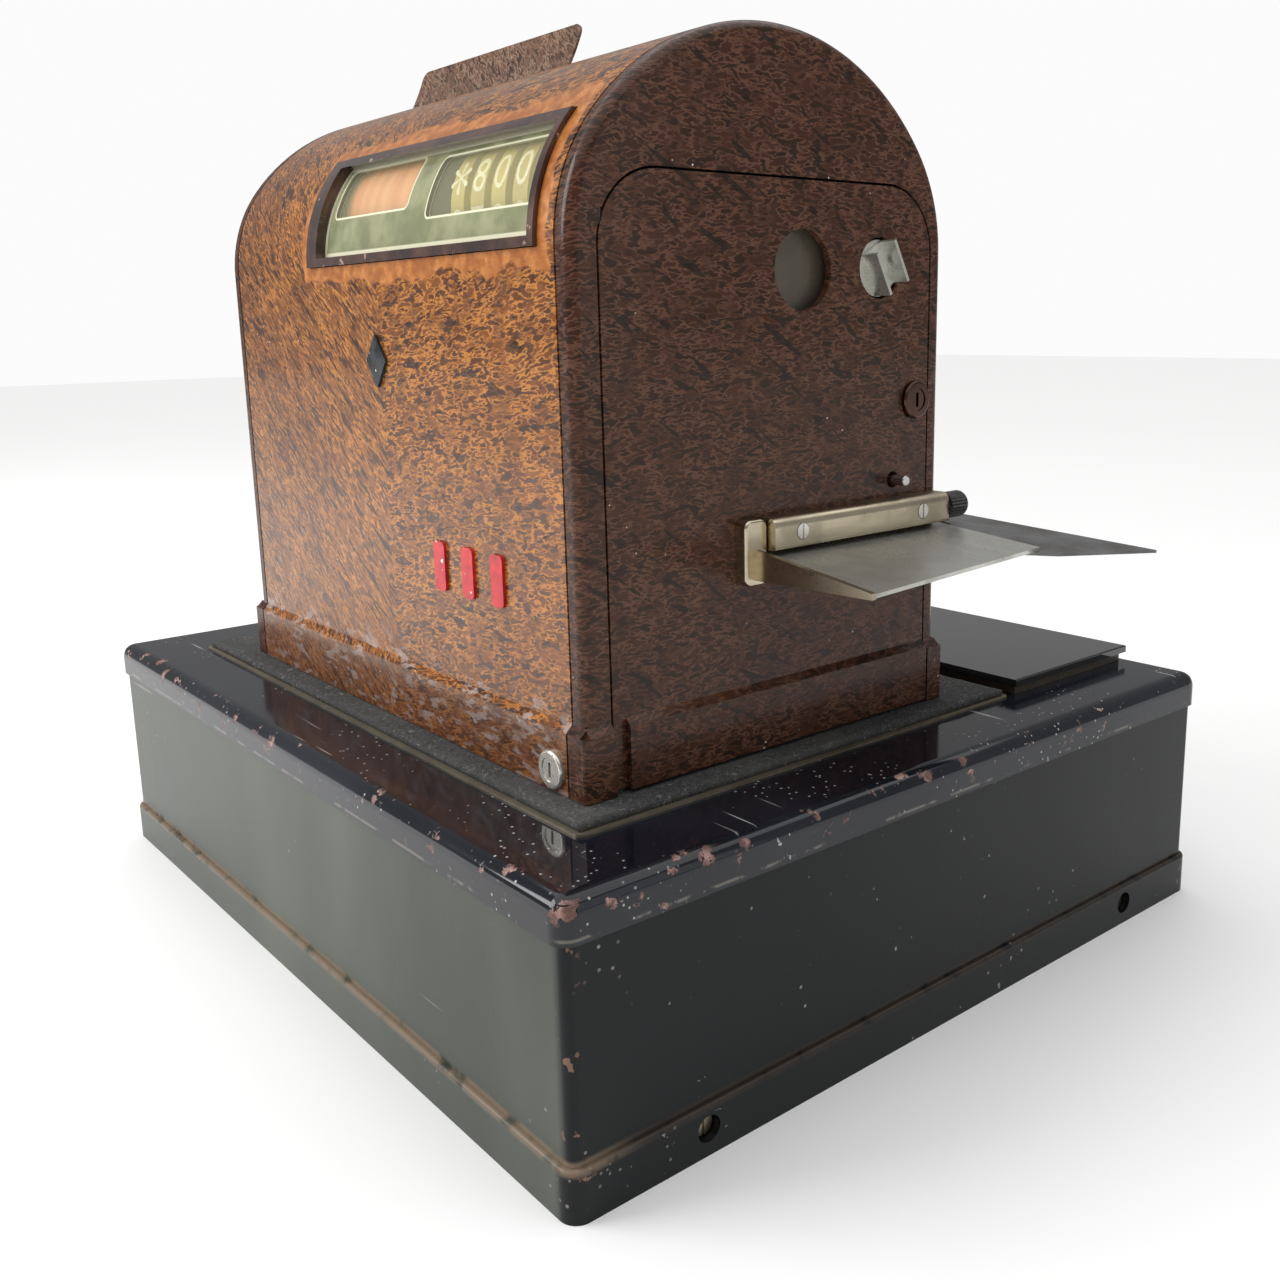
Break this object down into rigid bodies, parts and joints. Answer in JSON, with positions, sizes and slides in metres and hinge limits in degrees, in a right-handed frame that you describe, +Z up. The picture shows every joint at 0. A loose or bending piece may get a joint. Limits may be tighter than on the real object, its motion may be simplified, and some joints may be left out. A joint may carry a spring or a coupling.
{
  "type": "crank cash register",
  "caption": "Crank-operated cash register: arched housing with setting levers, figure drums and side door on a low cabinet with a till drawer.",
  "frame": {"origin": "centre of the underside of the base board, on the surface it stands on", "axes": "+Z up; +Y towards the customer; +X towards the crank side; -X is the end with the hinged door"},
  "size_m": [0.601, 0.4985, 0.5365],
  "materials": {
    "black_enamel": "glossy stoving enamel, chipped at the edges",
    "black_enamel_top": "glossy black enamel with fine white specks and worn edges",
    "brown_enamel": "glossy mottled brown enamel, dark flecks over ochre",
    "wood": "oiled beech",
    "dark_steel": "dull dark steel",
    "bell_brass": "polished",
    "gloss_black": "mirror gloss black",
    "olive_metal": "satin olive grey",
    "tray_metal": "dull beige edge",
    "felt": "rough dark grey felt",
    "dark_frame": "glossy dark brown",
    "window_glass": "grey-green tinted mask with clear panes",
    "numeral_plate": "cream enamel with dark figures",
    "badge_enamel": "gloss",
    "nickel": "worn nickel",
    "bright_steel": "oiled",
    "bronze": "dark bronze",
    "old_brass": "tarnished",
    "grey_steel": "brushed, scratched",
    "dark_plate": "dull dark grey",
    "black_knob": "black bakelite",
    "orange_flag": "orange",
    "paper": "plain paper",
    "lever_steel": "nickel-plated",
    "drum_yellow": "yellow with pale figures"
  },
  "bodies": {
    "root": {"plinth": "black_enamel", "plinth_screws": "old_brass", "cabinet_body": "black_enamel", "cabinet_cover": "black_enamel_top", "base_board": "wood", "drawer_runners": "dark_steel", "till_bell": "bell_brass", "coin_plate": "gloss_black", "coin_plate_frame": "olive_metal", "pad_tray": "tray_metal", "base_pad": "felt", "housing_wrapper": "brown_enamel", "left_end_cap": "brown_enamel", "right_end_cap": "brown_enamel", "window_frame": "dark_frame", "window_glass": "window_glass", "lever_plate": "numeral_plate", "badges": "badge_enamel", "customer_lock_ring": "nickel", "door_hinge_pins": "dark_steel", "sight_plate": "olive_metal", "left_side_frame": "dark_steel", "centre_frame": "dark_steel", "right_side_frame": "dark_steel", "frame_shafts": "bright_steel", "tie_bars": "bright_steel"},
    "drawer": {"drawer_box": "wood", "drawer_front": "black_enamel", "coin_tray": "wood", "drawer_pull": "nickel"},
    "side_door": {"side_door": "brown_enamel", "door_lock_ring": "bronze", "shelf_bar": "old_brass", "shelf_screws": "nickel", "shelf_bracket": "old_brass", "receipt_shelf": "grey_steel", "shelf_extension": "dark_plate"},
    "door_lock": {"door_lock_plug": "bronze"},
    "customer_lock": {"customer_lock_plug": "nickel"},
    "feed_knob": {"feed_knob": "black_knob"},
    "turn_key": {"turn_key": "grey_steel"},
    "release_pin": {"release_pin": "bright_steel"},
    "top_lid": {"top_lid": "brown_enamel"},
    "flag_drum": {"flag_drum": "orange_flag"},
    "paper_roll": {"paper_roll": "paper"},
    "crank": {"crank_shaft": "bright_steel", "crank_arm": "nickel"},
    "crank_grip": {"crank_grip": "black_knob"},
    "main_gear": {"main_gear": "bright_steel"},
    "lever_1": {"lever_1": "lever_steel"},
    "indicator_drum_1": {"indicator_drum_1": "drum_yellow"},
    "lever_2": {"lever_2": "lever_steel"},
    "indicator_drum_2": {"indicator_drum_2": "drum_yellow"},
    "lever_3": {"lever_3": "lever_steel"},
    "indicator_drum_3": {"indicator_drum_3": "drum_yellow"},
    "lever_4": {"lever_4": "lever_steel"},
    "indicator_drum_4": {"indicator_drum_4": "drum_yellow"},
    "lever_5": {"lever_5": "lever_steel"},
    "indicator_drum_5": {"indicator_drum_5": "drum_yellow"}
  },
  "joints": [
    {"name": "drawer_slide", "type": "slide", "parent": "root", "child": "drawer", "axis": [0, -1, 0], "range_m": [0, 0.32]},
    {"name": "side_door_hinge", "type": "hinge", "parent": "root", "child": "side_door", "pos_m": [-0.2132, 0.1627, 0.29], "axis": [0, 0, -1], "range_deg": [0, 85]},
    {"name": "door_lock_turn", "type": "hinge", "parent": "side_door", "child": "door_lock", "pos_m": [-0.215, -0.0435, 0.324], "axis": [1, 0, 0], "range_deg": [0, 90]},
    {"name": "feed_knob_turn", "type": "hinge", "parent": "side_door", "child": "feed_knob", "pos_m": [-0.2228, -0.06, 0.265], "axis": [0, 1, 0], "continuous": true},
    {"name": "customer_lock_turn", "type": "hinge", "parent": "root", "child": "customer_lock", "pos_m": [-0.192, 0.1835, 0.163], "axis": [0, 1, 0], "range_deg": [0, 90]},
    {"name": "turn_key_turn", "type": "hinge", "parent": "root", "child": "turn_key", "pos_m": [-0.21, -0.015, 0.393], "axis": [-1, 0, 0], "range_deg": [-60, 60]},
    {"name": "release_pin_press", "type": "slide", "parent": "root", "child": "release_pin", "axis": [1, 0, 0], "range_m": [0, 0.004], "stiffness_N_per_m": 300},
    {"name": "top_lid_hinge", "type": "hinge", "parent": "root", "child": "top_lid", "pos_m": [0.05, 0.055, 0.50538], "axis": [1, 0, 0], "range_deg": [-122, 12]},
    {"name": "flag_drum_turn", "type": "hinge", "parent": "root", "child": "flag_drum", "pos_m": [-0.016, 0.12601, 0.42334], "axis": [1, 0, 0], "range_deg": [0, 90]},
    {"name": "paper_roll_spin", "type": "hinge", "parent": "root", "child": "paper_roll", "pos_m": [0.05, 0.0575, 0.452], "axis": [1, 0, 0], "continuous": true},
    {"name": "crank_turn", "type": "hinge", "parent": "root", "child": "crank", "pos_m": [0.165, 0.0575, 0.3], "axis": [1, 0, 0], "continuous": true},
    {"name": "crank_grip_spin", "type": "hinge", "parent": "crank", "child": "crank_grip", "pos_m": [0.2, 0.0575, 0.205], "axis": [1, 0, 0], "continuous": true},
    {"name": "main_gear_spin", "type": "hinge", "parent": "root", "child": "main_gear", "pos_m": [0.126, 0.0575, 0.23], "axis": [1, 0, 0], "continuous": true},
    {"name": "lever_1_set", "type": "hinge", "parent": "root", "child": "lever_1", "pos_m": [-0.089, 0.035, 0.392], "axis": [1, 0, 0], "range_deg": [0, 72]},
    {"name": "indicator_drum_1_turn", "type": "hinge", "parent": "root", "child": "indicator_drum_1", "pos_m": [-0.098, 0.12601, 0.42334], "axis": [1, 0, 0], "range_deg": [-324, 0]},
    {"name": "lever_2_set", "type": "hinge", "parent": "root", "child": "lever_2", "pos_m": [-0.108, 0.035, 0.392], "axis": [1, 0, 0], "range_deg": [-64, 8]},
    {"name": "indicator_drum_2_turn", "type": "hinge", "parent": "root", "child": "indicator_drum_2", "pos_m": [-0.117, 0.12601, 0.42334], "axis": [1, 0, 0], "range_deg": [-36, 288]},
    {"name": "lever_3_set", "type": "hinge", "parent": "root", "child": "lever_3", "pos_m": [-0.127, 0.035, 0.392], "axis": [1, 0, 0], "range_deg": [0, 72]},
    {"name": "indicator_drum_3_turn", "type": "hinge", "parent": "root", "child": "indicator_drum_3", "pos_m": [-0.136, 0.12601, 0.42334], "axis": [1, 0, 0], "range_deg": [-324, 0]},
    {"name": "lever_4_set", "type": "hinge", "parent": "root", "child": "lever_4", "pos_m": [-0.146, 0.035, 0.392], "axis": [1, 0, 0], "range_deg": [0, 72]},
    {"name": "indicator_drum_4_turn", "type": "hinge", "parent": "root", "child": "indicator_drum_4", "pos_m": [-0.155, 0.12601, 0.42334], "axis": [1, 0, 0], "range_deg": [-324, 0]},
    {"name": "lever_5_set", "type": "hinge", "parent": "root", "child": "lever_5", "pos_m": [-0.165, 0.035, 0.392], "axis": [1, 0, 0], "range_deg": [0, 72]},
    {"name": "indicator_drum_5_turn", "type": "hinge", "parent": "root", "child": "indicator_drum_5", "pos_m": [-0.174, 0.12601, 0.42334], "axis": [1, 0, 0], "range_deg": [-324, 0]}
  ],
  "couplings": [
    {"joint": "main_gear_spin", "follows": "crank_turn", "ratio": -0.4},
    {"joint": "indicator_drum_1_turn", "follows": "lever_1_set", "ratio": -4.5},
    {"joint": "indicator_drum_2_turn", "follows": "lever_2_set", "ratio": -4.5},
    {"joint": "indicator_drum_3_turn", "follows": "lever_3_set", "ratio": -4.5},
    {"joint": "indicator_drum_4_turn", "follows": "lever_4_set", "ratio": -4.5},
    {"joint": "indicator_drum_5_turn", "follows": "lever_5_set", "ratio": -4.5}
  ]
}
